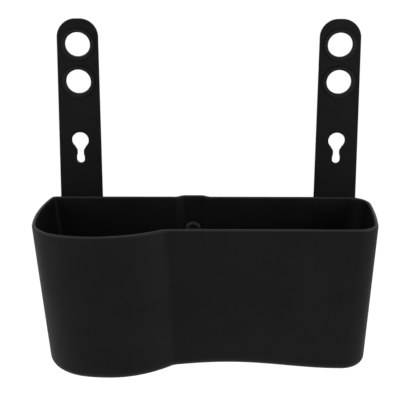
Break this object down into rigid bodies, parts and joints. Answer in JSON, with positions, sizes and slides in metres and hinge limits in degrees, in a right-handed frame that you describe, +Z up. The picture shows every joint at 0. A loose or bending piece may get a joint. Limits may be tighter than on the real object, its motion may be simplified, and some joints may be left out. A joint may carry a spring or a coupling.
{
  "type": "hanging caddy with cup pocket",
  "caption": "Black moulded caddy with a round cup pocket beside a straight trough, hung from upright straps with ring holes and keyholes.",
  "frame": {"origin": "centre of the whole object's footprint, on the plane its base stands on", "axes": "+X to the object's right as seen from its front, +Y towards the straps and the surface it hangs on, +Z up"},
  "size_m": [0.2643, 0.1064, 0.2604],
  "materials": {
    "bin_plastic": "matte black, fine moulded grain",
    "strap_rubber": "matte black, soft and flexible",
    "stud_plastic": "matte black",
    "button_plastic": "satin black"
  },
  "bodies": {
    "bin_body": {"bin": "bin_plastic", "left_upper_stud": "stud_plastic", "left_lower_stud": "stud_plastic", "right_upper_stud": "stud_plastic", "right_lower_stud": "stud_plastic", "centre_button": "button_plastic", "centre_keeper": "stud_plastic"},
    "left_strap_body": {"left_strap": "strap_rubber"},
    "right_strap_body": {"right_strap": "strap_rubber"}
  },
  "joints": [
    {"name": "left_strap_slide", "type": "slide", "parent": "bin_body", "child": "left_strap_body", "axis": [0, 0, -1], "range_m": [0, 0.0168]},
    {"name": "right_strap_slide", "type": "slide", "parent": "bin_body", "child": "right_strap_body", "axis": [0, 0, -1], "range_m": [0, 0.0168]}
  ]
}
